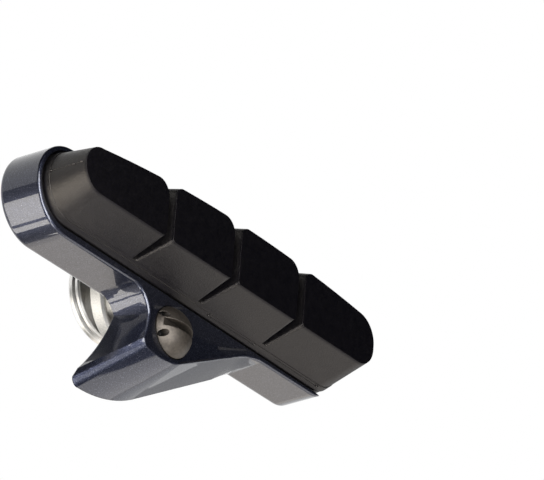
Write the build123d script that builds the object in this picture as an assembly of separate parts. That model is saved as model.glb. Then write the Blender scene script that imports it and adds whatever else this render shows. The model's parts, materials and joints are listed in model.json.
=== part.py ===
from build123d import *
from dataclasses import dataclass, fields, replace
from math import hypot, radians, sin, sqrt
import os

# Cartridge brake pad of a road bicycle's rim brake, in millimetres.
# A cast holder carries a rubber pad that slides in from one end, and a bolt with a ball-and-socket
# pair of washers clamps the holder to the brake arm.
# The origin is where the bolt's axis meets the friction face. +X runs to the end that the rubber
# slides in from, +Y to the bolt's head and +Z up, away from the guide tab.

# Lengthwise reach from the bolt's axis
closed_reach = 30.0
open_reach = 25.5

# Depths along the bolt's axis
pad_height = 6.3
holder_depth = 5.9
rim_y = pad_height
back_y = rim_y + holder_depth

# Holder's outline, as seen along the bolt
low_closed = -6.62
low_open = -6.5
crown_height = 6.85
crown_at = 2.2
crown_radius = 163.0
open_low_corner = 3.6
open_top_corner = 2.9
back_edge_round = 0.6
rim_edge_round = 0.35

# Rim between the holder's outer wall and the rubber
rim_at_tip = 0.87
rim_low_closed = 1.32
rim_low_open = 0.75
rim_at_crown = 1.44
pad_crown_radius = 198.0

# Channel that holds the rubber, wider at its floor than at its mouth
channel_depth = 2.7
channel_dovetail = 0.3
channel_gap = 0.1
rim_gap = 0.35
rim_gap_depth = 0.8

# Friction face, smaller than the rubber's foot so that the side walls lean
face_tip_inset = 0.7
face_open_inset = 0.3
face_low = -3.63
face_crown = 3.93
face_crown_at = 0.5
face_low_corner = 2.7
face_top_corner = 3.1

# Grooves across the rubber
groove_centres = (-13.6, -1.28, 11.0)
groove_mouth = 1.3
groove_floor = 0.45
groove_depth = 5.0
block_lead_low_corner = 0.4
block_lead_top_corner = 1.2
block_trail_low_corner = 0.7
block_trail_top_corner = 1.9
block_floor_corner_share = 0.6

# Parting step round the rubber's foot
step_height = 0.85
step_out = 0.08

# Guide tab that hangs from the holder's lower wall, and the plug in it
tab_back_inset = 0.7
tab_root_z = -5.6
plug_x = -4.3
plug_z = -9.96
plug_seat_radius = 3.2
plug_seat_depth = 2.4
plug_neck_radius = 2.2
plug_gap = 0.1
plug_dome_height = 2.0
plug_proud = 2.1
plug_recess = 0.5
plug_slot_width = 1.0
plug_slot_depth = 1.3
plug_slot_tilt = 4.0
plug_pin_radius = 0.42
plug_pin_depth = 2.2
plug_pin_x = -2.4
plug_pin_z = 1.2

# Round boss that the first washer stands on
boss_radius = 7.35
boss_height = 0.6
boss_edge = 0.4

# Screw that keeps the rubber from sliding out
screw_x = -9.5
screw_z = 0.2
screw_radius = 1.5
screw_head_radius = 2.7
screw_head_height = 1.5
screw_head_round = 0.7
screw_socket_flats = 2.0
screw_socket_depth = 1.0
screw_reach_into_pad = 1.2
spotface_radius = 3.5
spotface_depth = 0.7
dish_radius = 5.2
dish_depth = 0.3
dish_shift = 1.2

# Mounting bolt
bolt_radius = 3.0
bolt_gap = 0.05
bolt_end_gap = 0.4
flange_radius = 5.7
flange_height = 1.25
flange_edge = 0.4
bolt_dome_radius = 3.9
bolt_dome_height = 1.3
socket_flats = 4.0
socket_depth = 2.2
socket_chamfer = 0.5

# Washers, from the holder outwards, as they lie with the bolt slack
convex_radius = 6.3
convex_wall = 1.2
ball_radius = 8.0
washer_hole_radius = 4.0
concave_radius = 7.1
concave_height = 1.7
concave_edge = 0.3
concave_lean_down = 13.0
concave_lean_back = 8.0
seat_mouth_radius = 6.5
seat_lift = 1.78
thin_radius = 6.0
thin_hole_radius = 3.9
thin_height = 0.75
thin_edge = 0.2
thin_lean_down = 1.5
thin_lean_back = -4.0
slack = 0.06

tab_back_y = back_y - tab_back_inset
boss_y = back_y + boss_height
convex_shoulder_y = boss_y + convex_wall
ball_y = convex_shoulder_y - sqrt(ball_radius**2 - convex_radius**2)
concave_y = convex_shoulder_y + seat_lift
arm_seat_y = concave_y + concave_height
thin_lean = hypot(thin_lean_down, thin_lean_back)
lean_between = hypot(concave_lean_down - thin_lean_down, concave_lean_back - thin_lean_back)
thin_y = arm_seat_y + thin_radius * sin(radians(lean_between)) + slack
flange_y = thin_y + thin_height + flange_radius * sin(radians(thin_lean)) + slack


@dataclass
class Outline:
    """A long outline with a round closed end, a crowned upper edge and a squarer open end."""

    tip: float
    open_end: float
    low_closed: float
    low_open: float
    crown: float
    crown_at: float
    crown_radius: float
    low_corner: float
    top_corner: float

    def top(self, x):
        """Height of the crowned upper edge at x."""
        return self.crown - self.crown_radius + sqrt(self.crown_radius**2 - (x - self.crown_at) ** 2)

    def low(self, x):
        """Height of the straight lower edge at x."""
        share = (x - self.tip) / (self.open_end - self.tip)
        return self.low_closed + share * (self.low_open - self.low_closed)

    def end_radius(self):
        """Half the height of the closed end."""
        half = (self.top(self.tip) - self.low_closed) / 2
        return (self.top(self.tip + half) - self.low_closed) / 2

    def grown(self, by):
        """The same outline with every edge moved out."""
        return replace(
            self,
            tip=self.tip - by,
            low_closed=self.low_closed - by,
            low_open=self.low_open - by,
            crown=self.crown + by,
        )

    def toward(self, other, share):
        """The outline that lies a share of the way to another one."""
        mixed = {
            f.name: getattr(self, f.name) * (1 - share) + getattr(other, f.name) * share
            for f in fields(self)
        }
        return Outline(**mixed)


holder_outline = Outline(
    tip=-closed_reach,
    open_end=open_reach,
    low_closed=low_closed,
    low_open=low_open,
    crown=crown_height,
    crown_at=crown_at,
    crown_radius=crown_radius,
    low_corner=open_low_corner,
    top_corner=open_top_corner,
)

foot_outline = replace(
    holder_outline,
    tip=holder_outline.tip + rim_at_tip,
    low_closed=low_closed + rim_low_closed,
    low_open=low_open + rim_low_open,
    crown=crown_height - rim_at_crown,
    crown_radius=pad_crown_radius,
    low_corner=open_low_corner - rim_low_open / 2,
    top_corner=open_top_corner - rim_at_crown / 2,
)

face_outline = Outline(
    tip=face_tip_inset - closed_reach,
    open_end=open_reach - face_open_inset,
    low_closed=face_low,
    low_open=face_low,
    crown=face_crown,
    crown_at=face_crown_at,
    crown_radius=pad_crown_radius,
    low_corner=face_low_corner,
    top_corner=face_top_corner,
)


@dataclass
class TabOutline:
    """Guide tab's outline at one depth, from its root at the closed-end side round to the other root.

    Each point is an x and a z, and root_x and end_x are where it leaves the holder's lower edge.
    """

    root_x: float
    root_round: tuple
    neck: tuple
    flank: tuple
    crease: tuple
    horn: tuple
    horn_round: tuple
    belly_start: tuple
    belly: tuple
    taper_start: tuple
    taper_end: tuple
    end_round: tuple
    end_x: float


tab_front = TabOutline(
    root_x=-11.6,
    root_round=(-9.6, -7.55),
    neck=(-8.7, -9.4),
    flank=(-8.75, -11.0),
    crease=(-9.1, -12.6),
    horn=(-8.9, -13.3),
    horn_round=(-8.7, -13.5),
    belly_start=(-8.3, -13.65),
    belly=(-5.3, -13.85),
    taper_start=(-2.4, -13.2),
    taper_end=(8.4, -7.55),
    end_round=(10.3, -6.85),
    end_x=12.4,
)

tab_rear = TabOutline(
    root_x=-12.6,
    root_round=(-10.0, -7.2),
    neck=(-8.8, -8.5),
    flank=(-11.1, -13.15),
    crease=(-14.4, -17.6),
    horn=(-15.2, -19.0),
    horn_round=(-15.0, -19.7),
    belly_start=(-14.2, -20.0),
    belly=(-9.1, -19.3),
    taper_start=(-4.5, -17.4),
    taper_end=(9.65, -8.7),
    end_round=(11.3, -7.5),
    end_x=12.9,
)


def plane_at(y):
    """Plane across the bolt's axis, with X to the right, Z up and its normal toward the rim."""
    return Plane(origin=(0, y, 0), x_dir=(1, 0, 0), z_dir=(0, -1, 0))


def plane_facing_out(y, x=0, z=0):
    """Plane across the bolt's axis with its normal toward the bolt's head."""
    return Plane(origin=(x, y, z), x_dir=(-1, 0, 0), z_dir=(0, 1, 0))


def long_section(outline, y):
    """Face that fills a whole outline at one depth."""
    radius = outline.end_radius()
    left = outline.tip + radius
    right = outline.open_end
    middle = (left + right) / 2
    with BuildSketch(plane_at(y)) as section:
        with BuildLine():
            Line((left, outline.low_closed), (right, outline.low_open))
            Line((right, outline.low_open), (right, outline.top(right)))
            ThreePointArc((right, outline.top(right)), (middle, outline.top(middle)), (left, outline.top(left)))
            ThreePointArc(
                (left, outline.top(left)),
                (outline.tip, outline.low_closed + radius),
                (left, outline.low_closed),
            )
        make_face()
        fillet(section.vertices().group_by(Axis.X)[-1].sort_by(Axis.Y)[0], outline.low_corner)
        fillet(section.vertices().group_by(Axis.X)[-1].sort_by(Axis.Y)[-1], outline.top_corner)
    return section.sketch


def block_section(outline, y, start, stop, corner_share):
    """Face of one rubber block at one depth. A start or stop of None is the pad's own end."""
    radius = outline.end_radius()
    left = outline.tip + radius if start is None else start
    right = outline.open_end if stop is None else stop
    middle = (left + right) / 2
    with BuildSketch(plane_at(y)) as section:
        with BuildLine():
            Line((left, outline.low(left)), (right, outline.low(right)))
            Line((right, outline.low(right)), (right, outline.top(right)))
            ThreePointArc((right, outline.top(right)), (middle, outline.top(middle)), (left, outline.top(left)))
            if start is None:
                ThreePointArc(
                    (left, outline.top(left)),
                    (outline.tip, outline.low_closed + radius),
                    (left, outline.low(left)),
                )
            else:
                Line((left, outline.top(left)), (left, outline.low(left)))
        make_face()
        if start is not None:
            fillet(section.vertices().group_by(Axis.X)[0].sort_by(Axis.Y)[0], block_lead_low_corner * corner_share)
            fillet(section.vertices().group_by(Axis.X)[0].sort_by(Axis.Y)[-1], block_lead_top_corner * corner_share)
        low_corner, top_corner = outline.low_corner, outline.top_corner
        if stop is not None:
            low_corner = block_trail_low_corner * corner_share
            top_corner = block_trail_top_corner * corner_share
        fillet(section.vertices().group_by(Axis.X)[-1].sort_by(Axis.Y)[0], low_corner)
        fillet(section.vertices().group_by(Axis.X)[-1].sort_by(Axis.Y)[-1], top_corner)
    return section.sketch


def groove_half_width(depth):
    """Half the width of a groove at a depth below the friction face."""
    share = depth / groove_depth
    return (groove_mouth * (1 - share) + groove_floor * share) / 2


def friction_pad():
    """Rubber pad: a dovetailed foot in the holder, a stepped land above it and blocks between grooves."""
    land_outline = foot_outline.toward(face_outline, (pad_height - groove_depth) / pad_height)
    step_outline = foot_outline.toward(face_outline, step_height / pad_height)
    foot = loft(
        [
            long_section(foot_outline, rim_y),
            long_section(foot_outline.grown(channel_dovetail), rim_y + channel_depth - channel_gap),
        ],
        ruled=True,
    )
    land = loft([long_section(foot_outline, rim_y), long_section(land_outline, groove_depth)], ruled=True)
    step = loft(
        [
            long_section(foot_outline.grown(step_out), rim_y),
            long_section(step_outline.grown(step_out), rim_y - step_height),
        ],
        ruled=True,
    )
    pad = foot + land + step
    starts = (None,) + groove_centres
    stops = groove_centres + (None,)
    for start, stop in zip(starts, stops):
        levels = []
        for depth, outline, corner_share in (
            (groove_depth, land_outline, block_floor_corner_share),
            (0, face_outline, 1),
        ):
            half = groove_half_width(depth)
            block_start = None if start is None else start + half
            block_stop = None if stop is None else stop - half
            levels.append(block_section(outline, depth, block_start, block_stop, corner_share))
        pad += loft(levels, ruled=True)
    return pad - screw_hole(screw_radius + channel_gap)


def screw_hole(radius):
    """Hole along the pad's fixing screw, from the holder's back into the rubber."""
    bottom = rim_y + channel_depth - channel_gap - screw_reach_into_pad - channel_gap
    return extrude(plane_facing_out(bottom, screw_x, screw_z) * Circle(radius), back_y - bottom)


def tab_section(outline, y):
    """Face of the guide tab at one depth, closed off inside the holder's lower wall."""
    root = (outline.root_x, holder_outline.low(outline.root_x))
    end = (outline.end_x, holder_outline.low(outline.end_x))
    with BuildSketch(plane_at(y)) as section:
        with BuildLine():
            Line((outline.end_x, tab_root_z), (outline.root_x, tab_root_z))
            Line((outline.root_x, tab_root_z), root)
            ThreePointArc(root, outline.root_round, outline.neck)
            ThreePointArc(outline.neck, outline.flank, outline.crease)
            Line(outline.crease, outline.horn)
            ThreePointArc(outline.horn, outline.horn_round, outline.belly_start)
            ThreePointArc(outline.belly_start, outline.belly, outline.taper_start)
            Line(outline.taper_start, outline.taper_end)
            ThreePointArc(outline.taper_end, outline.end_round, end)
            Line(end, (outline.end_x, tab_root_z))
        make_face()
    return section.sketch


def holder_body():
    """Holder's long body with its rim and its back edge rounded."""
    body = extrude(long_section(holder_outline, rim_y), -holder_depth)
    body = fillet(body.faces().sort_by(Axis.Y)[-1].edges(), back_edge_round)
    return fillet(body.faces().sort_by(Axis.Y)[0].edges(), rim_edge_round)


def guide_tab():
    """Ruled tab from its small front outline to its wide rear one, with the front edge rounded."""
    tab = loft([tab_section(tab_front, rim_y), tab_section(tab_rear, tab_back_y)], ruled=True)
    free_edges = [
        edge
        for edge in tab.faces().sort_by(Axis.Y)[0].edges()
        if edge.bounding_box().min.Z < holder_outline.low(edge.center().X) - rim_edge_round
    ]
    return fillet(free_edges, rim_edge_round)


def shoe_holder():
    """Cast holder: channelled body, guide tab, washer boss and the holes for bolt, screw and plug."""
    body = holder_body() + guide_tab()
    boss = extrude(plane_facing_out(rim_y + channel_depth) * Circle(boss_radius), boss_y - rim_y - channel_depth)
    body += chamfer(boss.faces().sort_by(Axis.Y)[-1].edges(), boss_edge)
    body -= channel()
    body -= screw_seat() - extrude(plane_facing_out(rim_y) * Circle(boss_radius), holder_depth + boss_height)
    body -= screw_hole(screw_radius + bolt_gap)
    body -= extrude(plane_facing_out(rim_y) * Circle(bolt_radius + bolt_gap), holder_depth + boss_height)
    body -= extrude(plane_facing_out(rim_y, plug_x, plug_z) * Circle(plug_seat_radius), plug_seat_depth)
    body -= extrude(plane_facing_out(rim_y, plug_x, plug_z) * Circle(plug_neck_radius), holder_depth)
    return body


def channel():
    """Room for the rubber: a dovetail that runs out through the open end, with a wider groove at the rim."""
    mouth = replace(foot_outline.grown(channel_gap), open_end=open_reach + holder_depth)
    floor = mouth.grown(channel_dovetail)
    dovetail = loft([long_section(mouth, rim_y), long_section(floor, rim_y + channel_depth)], ruled=True)
    lip = mouth.grown(rim_gap - channel_gap)
    return dovetail + loft([long_section(lip, rim_y), long_section(mouth, rim_y + rim_gap_depth)], ruled=True)


def screw_seat():
    """Dished seat round the fixing screw's head, drawn out toward the closed end."""
    seat = extrude(
        plane_facing_out(back_y - spotface_depth, screw_x, screw_z) * Circle(spotface_radius), holder_depth
    )
    dish = extrude(
        plane_facing_out(back_y - dish_depth, screw_x - dish_shift, screw_z) * Circle(dish_radius), holder_depth
    )
    return seat + dish


def tab_plug():
    """Stepped plug in the guide tab: a slotted round head in front, a slot at its back and two pin holes."""
    head_radius = plug_seat_radius - plug_gap
    shoulder_y = rim_y + plug_seat_depth
    front_y = rim_y - plug_proud
    end_y = tab_back_y - plug_recess
    sphere_radius = (head_radius**2 + plug_dome_height**2) / (2 * plug_dome_height)
    head = extrude(plane_facing_out(front_y, plug_x, plug_z) * Circle(head_radius), shoulder_y - front_y)
    head = head & Pos(plug_x, front_y + sphere_radius, plug_z) * Sphere(sphere_radius)
    neck = extrude(
        plane_facing_out(shoulder_y, plug_x, plug_z) * Circle(plug_neck_radius - plug_gap), end_y - shoulder_y
    )
    slot = Rot(0, plug_slot_tilt, 0) * Box(2 * plug_seat_radius, 2 * plug_slot_depth, plug_slot_width)
    plug = head + neck
    for slot_y in (front_y, end_y):
        plug -= Pos(plug_x, slot_y, plug_z) * slot
    for side in (-1, 1):
        pin_at = plane_facing_out(front_y, plug_x + plug_pin_x, plug_z + side * plug_pin_z)
        plug -= extrude(pin_at * Circle(plug_pin_radius), plug_pin_depth)
    return plug


def pad_fixing_screw():
    """Button-head socket screw whose tip stands in the rubber and keeps it from sliding out."""
    seat_y = back_y - spotface_depth
    top_y = seat_y + screw_head_height
    tip_y = rim_y + channel_depth - channel_gap - screw_reach_into_pad
    head = extrude(plane_facing_out(seat_y, screw_x, screw_z) * Circle(screw_head_radius), screw_head_height)
    head = fillet(head.faces().sort_by(Axis.Y)[-1].edges(), screw_head_round)
    shank = extrude(plane_facing_out(tip_y, screw_x, screw_z) * Circle(screw_radius), seat_y - tip_y)
    socket = extrude(
        plane_facing_out(top_y - screw_socket_depth, screw_x, screw_z) * hexagon(screw_socket_flats),
        screw_socket_depth,
    )
    return head + shank - socket


def hexagon(flats):
    """Hexagon that measures flats across, from one flat side to the other."""
    return RegularPolygon(flats / 2, 6, major_radius=False)


def ring(radius, hole_radius, start, height):
    """Plain ring round the bolt's axis."""
    return extrude(plane_facing_out(start) * (Circle(radius) - Circle(hole_radius)), height)


def leaning(solid, y, down, back):
    """The solid leaning about the point of the bolt's axis at y.

    Leaning down moves its lower edge outward, and leaning back moves its open-end side outward.
    """
    return Pos(0, y, 0) * Rot(0, 0, back) * Rot(down, 0, 0) * Pos(0, -y, 0) * solid


def convex_washer():
    """Washer with a cylindrical foot and a spherical dome."""
    foot = ring(convex_radius, washer_hole_radius, boss_y, convex_wall)
    dome = ring(convex_radius, washer_hole_radius, convex_shoulder_y, ball_radius)
    return foot + (dome & Pos(0, ball_y, 0) * Sphere(ball_radius))


def concave_washer():
    """Washer with a spherical seat for the dome and a flat face for the brake arm, loose on the bolt."""
    blank = ring(concave_radius, washer_hole_radius, concave_y, concave_height)
    blank = chamfer(blank.faces().sort_by(Axis.Y)[0].outer_wire().edges(), concave_edge)
    seat_y = concave_y - sqrt(ball_radius**2 - seat_mouth_radius**2)
    seat = Pos(0, seat_y, 0) * Sphere(ball_radius)
    return leaning(blank - seat, concave_y, concave_lean_down, concave_lean_back)


def thin_washer():
    """Polished washer that leans between the concave washer and the bolt's flange."""
    washer = ring(thin_radius, thin_hole_radius, thin_y, thin_height)
    washer = chamfer(washer.edges().filter_by(GeomType.CIRCLE), thin_edge)
    return leaning(washer, thin_y, thin_lean_down, thin_lean_back)


def mounting_bolt():
    """Flanged button-head bolt with a hexagon socket, screwed into the holder's boss."""
    tip_y = rim_y + channel_depth + bolt_end_gap
    shank = extrude(plane_facing_out(tip_y) * Circle(bolt_radius), flange_y - tip_y)
    flange = extrude(plane_facing_out(flange_y) * Circle(flange_radius), flange_height)
    flange = chamfer(flange.edges().filter_by(GeomType.CIRCLE), flange_edge)
    dome_y = flange_y + flange_height
    dome = extrude(plane_facing_out(dome_y) * Circle(bolt_dome_radius), bolt_dome_height)
    dome = chamfer(dome.faces().sort_by(Axis.Y)[-1].edges(), bolt_dome_height * 0.6)
    top_y = dome_y + bolt_dome_height
    socket = extrude(plane_facing_out(top_y - socket_depth) * hexagon(socket_flats), socket_depth)
    mouth = extrude(plane_facing_out(top_y) * Circle(socket_flats / 2 + socket_chamfer), -socket_chamfer, taper=45)
    return shank + flange + dome - socket - mouth


pieces = {
    "shoe_holder": shoe_holder,
    "friction_pad": friction_pad,
    "tab_plug": tab_plug,
    "pad_fixing_screw": pad_fixing_screw,
    "convex_washer": convex_washer,
    "concave_washer": concave_washer,
    "thin_washer": thin_washer,
    "mounting_bolt": mounting_bolt,
}

os.makedirs("parts", exist_ok=True)
for name, make in pieces.items():
    export_step(make(), f"parts/{name}.step")
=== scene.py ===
import json
import logging
from dataclasses import dataclass
from enum import Enum

import bpy
import numpy as np
from mathutils import Matrix, Vector

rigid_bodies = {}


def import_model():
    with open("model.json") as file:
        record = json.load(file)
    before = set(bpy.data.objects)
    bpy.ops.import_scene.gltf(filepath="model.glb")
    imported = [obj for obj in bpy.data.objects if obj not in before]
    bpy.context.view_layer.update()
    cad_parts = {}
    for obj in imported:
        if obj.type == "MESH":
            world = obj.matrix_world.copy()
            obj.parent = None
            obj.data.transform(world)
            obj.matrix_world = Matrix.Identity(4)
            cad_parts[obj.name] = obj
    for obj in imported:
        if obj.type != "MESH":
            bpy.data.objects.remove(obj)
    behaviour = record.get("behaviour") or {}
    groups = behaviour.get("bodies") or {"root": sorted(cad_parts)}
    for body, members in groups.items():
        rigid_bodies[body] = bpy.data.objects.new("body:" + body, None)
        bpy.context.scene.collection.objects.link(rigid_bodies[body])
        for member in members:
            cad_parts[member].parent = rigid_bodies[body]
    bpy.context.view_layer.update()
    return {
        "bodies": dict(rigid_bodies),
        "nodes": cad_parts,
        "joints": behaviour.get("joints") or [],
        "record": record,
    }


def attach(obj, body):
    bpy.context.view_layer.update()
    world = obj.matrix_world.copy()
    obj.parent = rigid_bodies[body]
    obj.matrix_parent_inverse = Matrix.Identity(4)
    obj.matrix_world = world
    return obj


LOG = logging.getLogger("brake_pad")

MM = 0.001
Colour = tuple[float, float, float]
Point = tuple[float, float, float]
Span = tuple[float, float]
Socket = bpy.types.NodeSocket

WHITE: Colour = (1.0, 1.0, 1.0)
# The share of a noise's range over which it turns from its low colour to its high one
NOISE_CORE: Span = (0.3, 0.7)


class Piece(Enum):
    """The CAD nodes that get a finish."""

    HOLDER = "shoe_holder"
    RUBBER = "friction_pad"
    PLUG = "tab_plug"
    PAD_SCREW = "pad_fixing_screw"
    CONVEX_WASHER = "convex_washer"
    CONCAVE_WASHER = "concave_washer"
    THIN_WASHER = "thin_washer"
    BOLT = "mounting_bolt"


def rgba(colour: Colour) -> tuple[float, float, float, float]:
    """Return a colour with full alpha."""
    return (*colour, 1.0)


@dataclass(frozen=True)
class NodeTree:
    """A material's node tree with short calls for adding and linking nodes."""

    material: bpy.types.Material
    # Samples and ramp stops of the shade painted into crevices
    crevice_samples: int = 8
    crevice_stops: Span = (0.25, 0.75)
    edge_samples: int = 6

    @classmethod
    def named(cls, name: str) -> "NodeTree":
        """Return the tree of a new material.

        Args:
            name: The material's name.

        Returns:
            A tree that holds only Blender's own shader and output.
        """
        material = bpy.data.materials.new(name)
        material.use_nodes = True
        return cls(material)

    @property
    def shader(self) -> bpy.types.ShaderNode:
        """The material's Principled shader."""
        return self.material.node_tree.nodes["Principled BSDF"]

    @property
    def output(self) -> bpy.types.ShaderNode:
        """The material's output."""
        return self.material.node_tree.nodes["Material Output"]

    def add(self, kind: str, **settings: object) -> bpy.types.ShaderNode:
        """Add a node.

        Args:
            kind: The node's type name.
            settings: Properties to set on it.

        Returns:
            The new node.
        """
        node = self.material.node_tree.nodes.new(kind)
        for key, value in settings.items():
            setattr(node, key, value)
        return node

    def link(self, source: Socket, target: Socket) -> None:
        """Link two sockets."""
        self.material.node_tree.links.new(source, target)

    def noise(self, scale: float, detail: float = 2.0, roughness: float = 0.5) -> Socket:
        """Add a noise that reads Object coordinates.

        Args:
            scale: Cells in a metre.
            detail: Octaves.
            roughness: Weight of the finer octaves.

        Returns:
            The noise's value.
        """
        node = self.add("ShaderNodeTexNoise")
        node.inputs["Scale"].default_value = scale
        node.inputs["Detail"].default_value = detail
        node.inputs["Roughness"].default_value = roughness
        self.link(self.add("ShaderNodeTexCoord").outputs["Object"], node.inputs["Vector"])
        return node.outputs["Fac"]

    def ramp(self, value: Socket, stops: list[tuple[float, Colour]]) -> Socket:
        """Turn a value into a colour.

        Args:
            value: The socket that is read.
            stops: Positions and colours, from low to high.

        Returns:
            The colour.
        """
        node = self.add("ShaderNodeValToRGB")
        elements = node.color_ramp.elements
        while len(elements) < len(stops):
            elements.new(0.5)
        for element, (position, colour) in zip(elements, stops):
            element.position = position
            element.color = rgba(colour)
        self.link(value, node.inputs["Fac"])
        return node.outputs["Color"]

    def between(self, noise: Socket, low: Colour, high: Colour) -> Socket:
        """Return a colour that a noise moves from a low to a high one."""
        return self.ramp(noise, list(zip(NOISE_CORE, (low, high))))

    def along_depth(self, span: Span, before: float, after: float) -> Socket:
        """Change a value along Object Y, the bolt's axis.

        Args:
            span: Where the change starts and ends, in metres.
            before: The value in front of it.
            after: The value behind it.

        Returns:
            The value.
        """
        split = self.add("ShaderNodeSeparateXYZ")
        self.link(self.add("ShaderNodeTexCoord").outputs["Object"], split.inputs["Vector"])
        change = self.add("ShaderNodeMapRange")
        for key, value in zip(("From Min", "From Max", "To Min", "To Max"), (*span, before, after)):
            change.inputs[key].default_value = value
        self.link(split.outputs["Y"], change.inputs["Value"])
        return change.outputs["Result"]

    def crevices(self, colour: Socket, reach: float, painted_shade: Colour) -> Socket:
        """Paint shade into a colour where the surface is hemmed in by other surfaces.

        Args:
            colour: The open surface's colour.
            reach: How near those other surfaces have to be, in metres.
            painted_shade: The colour of the painted shade in the deepest crevices.

        Returns:
            The darkened colour.
        """
        # Painted shade: ambient occlusion darkens the colour towards the shade colour in crevices
        hidden = self.add("ShaderNodeAmbientOcclusion", samples=self.crevice_samples)
        hidden.inputs["Distance"].default_value = reach
        shade = self.ramp(hidden.outputs["AO"], list(zip(self.crevice_stops, (painted_shade, WHITE))))
        mix = self.add("ShaderNodeMix", data_type="RGBA", blend_type="MULTIPLY")
        mix.inputs["Factor"].default_value = 1.0
        self.link(colour, mix.inputs["A"])
        self.link(shade, mix.inputs["B"])
        return mix.outputs["Result"]

    def surface(self, height: Socket, depth: float, edge_round: float) -> None:
        """Give the shader's surface a relief and rounded edges.

        Args:
            height: The socket that gives the relief's height, from 0 to 1.
            depth: The real depth of that relief, in metres.
            edge_round: Radius of the rounded edges, in metres.
        """
        edges = self.add("ShaderNodeBevel", samples=self.edge_samples)
        edges.inputs["Radius"].default_value = edge_round
        relief = self.add("ShaderNodeBump")
        relief.inputs["Distance"].default_value = depth
        self.link(height, relief.inputs["Height"])
        self.link(edges.outputs["Normal"], relief.inputs["Normal"])
        self.link(relief.outputs["Normal"], self.shader.inputs["Normal"])

    def set(self, **values: object) -> None:
        """Set the shader's own sockets by name, with underscores for spaces."""
        for key, value in values.items():
            self.shader.inputs[key.replace("_", " ")].default_value = value


@dataclass(frozen=True)
class HolderPaint:
    """Dark navy metallic paint with a fine flake under a clear coat."""

    deep: Colour = (0.006, 0.008, 0.022)
    middle: Colour = (0.020, 0.024, 0.046)
    flake: Colour = (0.16, 0.17, 0.22)
    stops: tuple[float, float, float] = (0.36, 0.56, 0.78)
    flake_scale: float = 9000.0
    flake_fineness: float = 0.7
    metallic: float = 0.7
    roughness: float = 0.38
    coat_roughness: float = 0.03
    coat_ior: float = 1.55
    orange_peel_scale: float = 420.0
    orange_peel: float = 0.00002
    edge_round: float = 0.00022

    def build(self) -> bpy.types.Material:
        """Mix the flake's colours and lay the clear coat over them.

        Returns:
            The material.
        """
        tree = NodeTree.named("holder_paint")
        flake = tree.noise(self.flake_scale, roughness=self.flake_fineness)
        colour = tree.ramp(flake, list(zip(self.stops, (self.deep, self.middle, self.flake))))
        tree.link(colour, tree.shader.inputs["Base Color"])
        tree.set(Metallic=self.metallic, Roughness=self.roughness)
        tree.set(Coat_Weight=1.0, Coat_Roughness=self.coat_roughness, Coat_IOR=self.coat_ior)
        tree.surface(tree.noise(self.orange_peel_scale, 1.0), self.orange_peel, self.edge_round)
        return tree.material


@dataclass(frozen=True)
class PadRubber:
    """Black moulded rubber with a satin skin, which is duller on the friction face than on the sides."""

    dark: Colour = (0.0010, 0.0010, 0.0046)
    pale: Colour = (0.0042, 0.0038, 0.0072)
    mottle: float = 900.0
    gloss: Colour = (1.0, 0.92, 0.81)
    roughness: Span = (0.36, 0.46)
    shine: float = 2600.0
    ior: float = 1.5
    grain: float = 5200.0
    grain_fineness: float = 0.6
    grain_depth: float = 0.000032
    face_skin: Span = (0.0001, 0.0004)
    face_gloss: float = 0.2
    side_gloss: float = 0.5
    edge_round: float = 0.0001

    def build(self) -> bpy.types.Material:
        """Mix the rubber's mottled colour, its uneven shine and its grain.

        Returns:
            The material.
        """
        tree = NodeTree.named("pad_rubber")
        inputs = tree.shader.inputs
        tree.link(tree.between(tree.noise(self.mottle, 4.0), self.dark, self.pale), inputs["Base Color"])
        smooth, rough = ((value,) * 3 for value in self.roughness)
        tree.link(tree.between(tree.noise(self.shine, 3.0), smooth, rough), inputs["Roughness"])
        tree.set(IOR=self.ior, Specular_Tint=rgba(self.gloss))
        gloss = tree.along_depth(self.face_skin, self.face_gloss, self.side_gloss)
        tree.link(gloss, inputs["Specular IOR Level"])
        grain = tree.noise(self.grain, 3.0, self.grain_fineness)
        tree.surface(grain, self.grain_depth, self.edge_round)
        return tree.material


@dataclass(frozen=True)
class Metal:
    """A bare or plated metal with a faint grain and shade painted into its crevices."""

    name: str
    dark: Colour
    pale: Colour
    roughness: float
    grain: float = 3000.0
    grain_depth: float = 0.0000015
    edge_round: float = 0.00012
    # Painted shade: crevices within this reach are darkened towards the crevice colour below
    crevice_reach: float = 0.0009
    crevice: Colour = (0.08, 0.07, 0.06)
    metallic: float = 1.0

    def build(self) -> bpy.types.Material:
        """Mix the metal's grain and paint shade into its crevices.

        Returns:
            The material.
        """
        tree = NodeTree.named(self.name)
        grain = tree.noise(self.grain, 3.0)
        metal = tree.between(grain, self.dark, self.pale)
        shaded = tree.crevices(metal, self.crevice_reach, self.crevice)
        tree.link(shaded, tree.shader.inputs["Base Color"])
        tree.set(Metallic=self.metallic, Roughness=self.roughness)
        tree.surface(grain, self.grain_depth, self.edge_round)
        return tree.material


def place(name: str, data: bpy.types.ID) -> bpy.types.Object:
    """Return a new object that stands in the scene.

    Args:
        name: The object's name.
        data: Its mesh, camera or lamp.

    Returns:
        The object.
    """
    placed = bpy.data.objects.new(name, data)
    bpy.context.scene.collection.objects.link(placed)
    return placed


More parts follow.
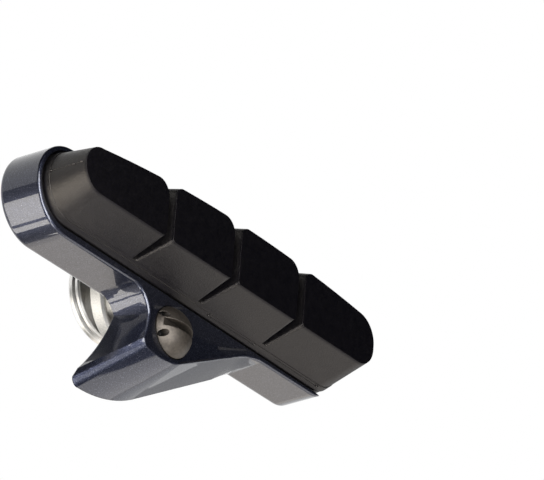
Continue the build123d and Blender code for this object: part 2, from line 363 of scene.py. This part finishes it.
@dataclass(frozen=True)
class Card:
    """A bent card round the object that only reflections see: black, or glowing where it has a glow.

    It is a piece of a cylinder round the bolt's axis, so it runs from one angle to another, in degrees
    from +X towards +Z, and from one depth along +Y to another, both as shares of its radius.
    """

    name: str
    angles: Span
    depths: Span
    radius: float = 0.7
    glow: float = 0.0
    tint: Colour = WHITE
    black: Colour = (0.004, 0.004, 0.006)
    steps: int = 24

    def mesh(self) -> bpy.types.Mesh:
        """Lay the card out: x and z are the radius times the cosine and sine of the angle.

        Returns:
            The card's mesh, one row of quads.
        """
        angle = np.radians(np.linspace(*self.angles, self.steps + 1))
        edge = np.stack([np.cos(angle), np.zeros_like(angle), np.sin(angle)], axis=1) * self.radius
        rows = [edge + np.array([0.0, depth * self.radius, 0.0]) for depth in self.depths]
        first = np.arange(self.steps)
        second = first + self.steps + 1
        faces = np.stack([first, first + 1, second + 1, second], axis=1)
        mesh = bpy.data.meshes.new(self.name)
        mesh.from_pydata(np.concatenate(rows).tolist(), [], faces.tolist())
        return mesh

    def build(self) -> None:
        """Stand the card where a smooth surface mirrors it."""
        tree = NodeTree.named(self.name)
        tree.set(Base_Color=rgba(self.black), Roughness=1.0, Specular_IOR_Level=0.0)
        tree.set(Emission_Color=rgba(self.tint), Emission_Strength=self.glow)
        mesh = self.mesh()
        mesh.materials.append(tree.material)
        card = place(self.name, mesh)
        card.visible_camera = False
        card.visible_shadow = False
        card.visible_diffuse = False


NEAR = 0.05
WINDOW_DEPTHS: Span = (0.35, 1.2)
WINDOW_GLOW = 5.6
WINDOW_TINT: Colour = (1.0, 0.96, 0.89)

CARDS = (
    # Dark cards in front of the friction face, above the holder, round its rim and under the horn
    Card("front_black", (-22.0, 98.0), (-3.5, -0.2), 0.5),
    Card("face_black", (5.0, 98.0), (-0.2, 0.3), 0.5),
    Card("top_black", (80.0, 133.0), (-1.1, 0.66), 0.55),
    Card("rim_black", (133.0, 262.0), (-0.9, 0.3), 0.6),
    Card("horn_black", (262.0, 324.0), (-3.5, -0.68), 0.6),
    # A window of two panes, and the floor beside it, which the holder's walls and the washers mirror
    Card("window_top_black", (166.0, 193.0), WINDOW_DEPTHS, glow=0.2),
    Card("window", (193.0, 248.0), WINDOW_DEPTHS, glow=WINDOW_GLOW, tint=WINDOW_TINT),
    Card("window_bar", (248.0, 255.0), WINDOW_DEPTHS, glow=0.2),
    Card("window_low", (255.0, 268.0), WINDOW_DEPTHS, glow=WINDOW_GLOW, tint=WINDOW_TINT),
    Card("floor_black", (268.0, 306.0), (0.1, 1.2), glow=0.15),
    Card("floor_light", (306.0, 344.0), (0.45, 1.2), glow=1.2, tint=(1.0, 0.93, 0.84)),
    Card("side_grey", (-12.0, 30.0), (0.37, 0.62), glow=0.35),
    # Lights for the front edges and the plug, and near cards that only one rounded part mirrors
    Card("edge_light", (155.0, 262.0), (-2.4, -0.9), glow=9.0),
    Card("edge_black", (98.0, 155.0), (-3.5, -0.88)),
    Card("plug_light", (240.0, 290.0), (-2.9, -1.8), 0.5, glow=9.0),
    Card("neck_black", (188.0, 219.0), (0.66, 0.93), NEAR, glow=0.1),
    Card("neck_light", (252.0, 275.0), (0.66, 0.87), 0.034, glow=5.0, tint=WINDOW_TINT),
    Card("rim_light", (160.5, 234.0), (-0.85, -0.2), NEAR, glow=11.0),
    Card("guide_light", (312.0, 347.0), (-0.65, -0.05), glow=1.8, tint=(1.0, 0.97, 0.94)),
)


@dataclass(frozen=True)
class PhotoCamera:
    """The camera at the photograph's viewing angle, placed in millimetres."""

    at: Point = (-637.5, -521.6, -418.5)
    right: Point = (0.6028, -0.7952, 0.0652)
    down: Point = (0.3986, 0.2293, -0.8880)
    focal_pixels: float = 8000.0
    image_width: float = 544.0
    sensor: float = 36.0
    nearest: float = 0.01

    def build(self) -> None:
        """Stand the camera where the photograph was taken from."""
        right = Vector(self.right)
        forward = Vector(self.down).cross(right).normalized() * -1.0
        right.normalize()
        up = right.cross(forward)
        data = bpy.data.cameras.new("camera")
        data.sensor_width = self.sensor
        data.lens = self.focal_pixels / self.image_width * self.sensor
        data.clip_start = self.nearest
        camera = place("camera", data)
        turned = Matrix((right, up, -forward)).transposed().to_4x4()
        camera.matrix_world = Matrix.Translation(Vector(self.at) * MM) @ turned
        bpy.context.scene.camera = camera


@dataclass(frozen=True)
class WhiteWorld:
    """The white world, which lights the object more softly than it looks."""

    ambient: float = 0.55
    clamp: float = 1.6
    full_rays: tuple[str, ...] = ("Is Camera Ray", "Is Glossy Ray", "Is Transmission Ray")

    def build(self) -> None:
        """Light softly from all round, and show white to the camera, to metal and to glass."""
        world = bpy.data.worlds.new("studio")
        world.use_nodes = True
        nodes, links = world.node_tree.nodes, world.node_tree.links
        nodes.clear()
        path = nodes.new("ShaderNodeLightPath")
        full = path.outputs[self.full_rays[0]]
        for ray in self.full_rays[1:]:
            either = nodes.new("ShaderNodeMath")
            either.operation = "MAXIMUM"
            links.new(full, either.inputs[0])
            links.new(path.outputs[ray], either.inputs[1])
            full = either.outputs[0]
        mix = nodes.new("ShaderNodeMixShader")
        links.new(full, mix.inputs["Fac"])
        for slot, strength in enumerate((self.ambient, 1.0), start=1):
            light = nodes.new("ShaderNodeBackground")
            light.inputs["Color"].default_value = rgba(WHITE)
            light.inputs["Strength"].default_value = strength
            links.new(light.outputs[0], mix.inputs[slot])
        output = nodes.new("ShaderNodeOutputWorld")
        links.new(mix.outputs[0], output.inputs["Surface"])
        scene = bpy.context.scene
        scene.world = world
        scene.view_settings.view_transform = "Standard"
        scene.cycles.sample_clamp_direct = self.clamp
        scene.cycles.sample_clamp_indirect = self.clamp


@dataclass(frozen=True)
class KeyLamp:
    """A square soft lamp that points at the object from below, with its sizes in metres and watts."""

    toward: Point = (-0.3, -0.2, -1.0)
    distance: float = 0.9
    side: float = 0.6
    power: float = 6.0

    def build(self) -> None:
        """Hang the lamp and turn it to the object."""
        data = bpy.data.lights.new("key_lamp", "AREA")
        data.energy = self.power
        data.size = self.side
        lamp = place("key_lamp", data)
        toward = Vector(self.toward)
        lamp.location = toward.normalized() * self.distance
        lamp.rotation_mode = "QUATERNION"
        lamp.rotation_quaternion = (-toward).to_track_quat("-Z", "Y")


@dataclass(frozen=True)
class Floor:
    """The plain pale floor well below the object, which the camera looks up at."""

    z: float = -1.4
    side: float = 8.0
    pale: Colour = (0.9, 0.9, 0.9)
    roughness: float = 0.9
    mirrored: Colour = (1.0, 0.97, 0.93)

    def build(self) -> None:
        """Lay the floor: pale to the eye, and glowing where the object mirrors it."""
        half = self.side / 2
        mesh = bpy.data.meshes.new("floor")
        corners = [(-half, -half), (half, -half), (half, half), (-half, half)]
        mesh.from_pydata([(x, y, self.z) for x, y in corners], [], [(0, 1, 2, 3)])
        tree = NodeTree.named("floor")
        tree.set(Base_Color=rgba(self.pale), Roughness=self.roughness)
        glow = tree.add("ShaderNodeEmission")
        glow.inputs["Color"].default_value = rgba(self.mirrored)
        mix = tree.add("ShaderNodeMixShader")
        tree.link(tree.add("ShaderNodeLightPath").outputs["Is Glossy Ray"], mix.inputs["Fac"])
        tree.link(tree.shader.outputs["BSDF"], mix.inputs[1])
        tree.link(glow.outputs["Emission"], mix.inputs[2])
        tree.link(mix.outputs["Shader"], tree.output.inputs["Surface"])
        mesh.materials.append(tree.material)
        place("floor", mesh)


@dataclass(frozen=True)
class Studio:
    """Everything round the object: camera, world, floor, lamp and cards."""

    camera: PhotoCamera = PhotoCamera()
    world: WhiteWorld = WhiteWorld()
    floor: Floor = Floor()
    lamp: KeyLamp = KeyLamp()
    cards: tuple[Card, ...] = CARDS

    def build(self) -> None:
        """Build each of them."""
        for thing in (self.camera, self.world, self.floor, self.lamp, *self.cards):
            thing.build()


@dataclass(frozen=True)
class MouldMark:
    """A fine bead that the mould left on the rubber, straight from one point of its side to another.

    Its points, width and height are in millimetres.
    """

    name: str
    start: Point
    end: Point
    width: float
    height: float
    lumps: float = 0.0
    steps: int = 96
    sides: int = 10
    bluntness: int = 8
    tip_share: float = 0.02
    lump_waves: Span = (61.0, 147.0)

    @classmethod
    def pip(cls, name: str, start: Point, end: Point, width: float, height: float) -> "MouldMark":
        """Return a mark so short that a few steps make it round."""
        return cls(name, start, end, width, height, steps=12)

    def laid(self, carrier: bpy.types.Object) -> tuple[np.ndarray, np.ndarray]:
        """Lay the bead's path on its carrier.

        Args:
            carrier: The object whose surface it follows.

        Returns:
            The path's points in metres, and the surface's mean outward direction along it.
        """
        path = np.linspace(self.start, self.end, self.steps + 1) * MM
        found = [carrier.closest_point_on_mesh(Vector(point)) for point in path]
        outward = np.mean([normal for _, _, normal, _ in found], axis=0)
        return np.array([point for _, point, _, _ in found]), outward / np.linalg.norm(outward)

    def points(self, path: np.ndarray, outward: np.ndarray) -> np.ndarray:
        """Work out the bead's surface on a grid of steps along it and sides round it.

        At share u of the path and angle v round the bead, a point is the path's point plus t(u) times the
        sum of half the width times cos v, sideways, and the height times l(u) sin v, outwards. The ends are
        drawn in by t(u), the root of the greater of the tip's share and 1 - (2u - 1) to the power of the
        bluntness. The lumps come from l(u), which is 1 plus their share of the sum of two sine waves.

        Args:
            path: The path's points in metres.
            outward: The direction away from the rubber.

        Returns:
            The points, by step, side and axis.
        """
        side = np.cross(path[-1] - path[0], outward)
        side /= np.linalg.norm(side)
        share = np.linspace(0.0, 1.0, self.steps + 1)[:, None, None]
        turn = np.linspace(0.0, 2.0 * np.pi, self.sides, endpoint=False)[None, :, None]
        drawn_in = np.sqrt(np.maximum(1.0 - (2.0 * share - 1.0) ** self.bluntness, self.tip_share))
        lumps = 1.0 + self.lumps * sum(np.sin(wave * share) for wave in self.lump_waves)
        across = self.width * MM / 2.0 * np.cos(turn) * side
        up = self.height * MM * lumps * np.sin(turn) * outward
        return path[:, None, :] + drawn_in * (across + up)

    def faces(self) -> list[list[int]]:
        """List the bead's quads and its two end caps, which all face outwards.

        Returns:
            The corners of each face.
        """
        row = np.arange(self.steps)[:, None] * self.sides
        column = np.arange(self.sides)[None, :]
        after = (column + 1) % self.sides
        next_row = row + self.sides
        quads = np.stack([row + column, next_row + column, next_row + after, row + after], axis=-1)
        last = self.steps * self.sides
        caps = [list(range(self.sides)), list(range(last, last + self.sides))[::-1]]
        return quads.reshape(-1, 4).tolist() + caps

    def build(self, carrier: bpy.types.Object, material: bpy.types.Material) -> None:
        """Make the bead and let it ride on the body.

        Args:
            carrier: The rubber that it stands on.
            material: The rubber's finish.
        """
        mesh = bpy.data.meshes.new(self.name)
        mesh.from_pydata(self.points(*self.laid(carrier)).reshape(-1, 3).tolist(), [], self.faces())
        mesh.shade_smooth()
        mesh.materials.append(material)
        bead = place(self.name, mesh)
        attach(bead, "root")
        LOG.info("made %s", self.name)


MOULD_MARKS = (
    MouldMark("pad_seam", (-29.15, 6.0, -0.5), (-29.3, 0.4, -0.6), 0.14, 0.06, lumps=0.45),
    MouldMark("pad_foot_line_middle", (1.2, 5.8, -5.46), (9.8, 5.72, -5.47), 0.16, 0.07),
    MouldMark("pad_foot_line_open", (13.9, 5.75, -5.5), (22.0, 5.75, -5.6), 0.14, 0.06),
    MouldMark.pip("pad_pip_middle_start", (1.1, 5.7, -5.45), (1.4, 5.7, -5.45), 0.3, 0.17),
    MouldMark.pip("pad_pip_middle_end", (9.7, 5.62, -5.46), (9.98, 5.62, -5.46), 0.3, 0.17),
    MouldMark.pip("pad_pip_open", (21.9, 5.7, -5.6), (22.25, 5.7, -5.6), 0.34, 0.2),
    MouldMark.pip("pad_pip_seam_foot", (-29.17, 5.5, -0.5), (-29.17, 5.15, -0.5), 0.26, 0.15),
    MouldMark.pip("pad_pip_seam_middle", (-29.2, 2.1, -0.6), (-29.2, 1.75, -0.6), 0.26, 0.16),
    MouldMark.pip("pad_pip_seam_face", (-29.25, 0.95, -0.6), (-29.25, 0.55, -0.6), 0.3, 0.18),
)


def dress(frame: dict, material: bpy.types.Material, *pieces: Piece) -> None:
    """Give CAD nodes their finish.

    Args:
        material: The finish.
        pieces: The nodes that get it.
    """
    for piece in pieces:
        mesh = frame["nodes"][piece.value].data
        mesh.materials.clear()
        mesh.materials.append(material)
        LOG.info("dressed %s", piece.value)


@dataclass(frozen=True)
class RubberInsert:
    """The grooved rubber with the marks of its mould."""

    rubber: PadRubber = PadRubber()
    marks: tuple[MouldMark, ...] = MOULD_MARKS

    def build(self, frame: dict) -> None:
        """Dress the rubber and lay the marks on it.
        """
        material = self.rubber.build()
        dress(frame, material, Piece.RUBBER)
        for mark in self.marks:
            mark.build(frame["nodes"][Piece.RUBBER.value], material)


@dataclass(frozen=True)
class Shoe:
    """The painted holder with the plug in its guide tab and the screw that keeps the rubber in."""

    paint: HolderPaint = HolderPaint()
    # The plug's crevice colour is a near-black painted shade in its slot and pin holes
    plug: Metal = Metal(
        "plug_metal", (0.046, 0.037, 0.029), (0.086, 0.071, 0.056), 0.45,
        crevice=(0.02, 0.017, 0.014), metallic=0.4,
    )
    nickel: Metal = Metal("screw_nickel", (0.60, 0.56, 0.47), (0.70, 0.66, 0.56), 0.22)

    def build(self, frame: dict) -> None:
        """Dress the holder, its plug and the screw.
        """
        dress(frame, self.paint.build(), Piece.HOLDER)
        dress(frame, self.plug.build(), Piece.PLUG)
        dress(frame, self.nickel.build(), Piece.PAD_SCREW)


@dataclass(frozen=True)
class ClampHardware:
    """The pair of ball washers, and the chromed thin washer and bolt that clamp them."""

    alloy: Metal = Metal(
        "washer_alloy", (0.40, 0.40, 0.39), (0.56, 0.55, 0.53), 0.42,
        grain=5000.0, grain_depth=0.000006,
    )
    # The chrome's crevice colour paints a dark shade into its crevices, such as the gap under the bolt's
    # flange
    chrome: Metal = Metal(
        "bolt_chrome", (0.77, 0.76, 0.74), (0.85, 0.84, 0.81), 0.31,
        crevice=(0.04, 0.035, 0.03),
    )

    def build(self, frame: dict) -> None:
        """Dress the washers and the bolt."""
        dress(frame, self.alloy.build(), Piece.CONVEX_WASHER, Piece.CONCAVE_WASHER)
        dress(frame, self.chrome.build(), Piece.THIN_WASHER, Piece.BOLT)


def main() -> None:
    """Build the studio and dress every piece."""
    logging.basicConfig(level=logging.INFO, format="%(name)s: %(message)s")
    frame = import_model()
    Studio().build()
    for assembly in (Shoe(), RubberInsert(), ClampHardware()):
        assembly.build(frame)


if __name__ == "__main__":
    main()
